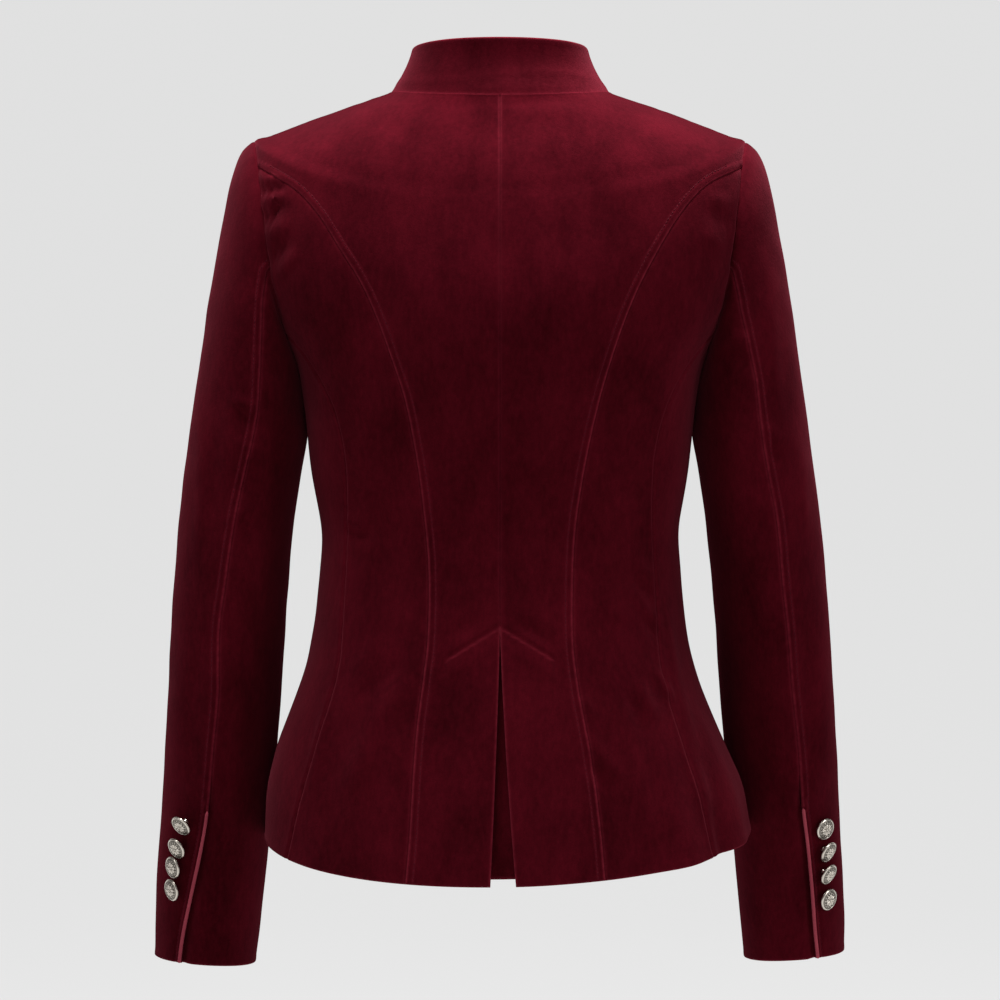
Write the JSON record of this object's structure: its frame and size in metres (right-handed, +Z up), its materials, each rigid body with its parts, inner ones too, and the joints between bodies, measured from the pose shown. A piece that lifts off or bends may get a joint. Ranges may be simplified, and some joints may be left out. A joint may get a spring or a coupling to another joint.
{
  "type": "trachten jacket",
  "caption": "Fitted velvet jacket in Alpine style, hollow as worn, with stand collar, princess seams, pleated back vent and buttoned cuff vents.",
  "frame": {"origin": "midway between the two points where the shoulder seams meet the collar, on the wearer's neck line", "axes": "+Z up, +Y the wearer's front, -Y the back that the picture shows, +X the wearer's right"},
  "size_m": [0.5257, 0.2557, 0.69],
  "materials": {
    "velvet": "deep burgundy cotton velvet with a short nap and a soft rim sheen",
    "piping": "lighter burgundy piped edge of the cuff vents",
    "antique_silver": "antiqued cast silver-tone metal, darker in its hollows"
  },
  "bodies": {
    "root": {"back_left": "velvet", "back_right": "velvet", "side_back_left": "velvet", "side_back_right": "velvet", "side_left": "velvet", "side_right": "velvet", "front_left": "velvet", "front_right": "velvet", "pleat_underlay": "velvet", "collar": "velvet", "sleeve_top_left": "velvet", "sleeve_top_right": "velvet", "sleeve_under_left": "velvet", "sleeve_under_right": "velvet", "cuff_piping_left": "piping", "cuff_piping_right": "piping", "cuff_button_left_1": "antique_silver", "cuff_button_left_2": "antique_silver", "cuff_button_left_3": "antique_silver", "cuff_button_left_4": "antique_silver", "cuff_button_right_1": "antique_silver", "cuff_button_right_2": "antique_silver", "cuff_button_right_3": "antique_silver", "cuff_button_right_4": "antique_silver", "front_button_1": "antique_silver", "front_button_2": "antique_silver", "front_button_3": "antique_silver", "front_button_4": "antique_silver", "front_button_5": "antique_silver"}
  },
  "joints": []
}
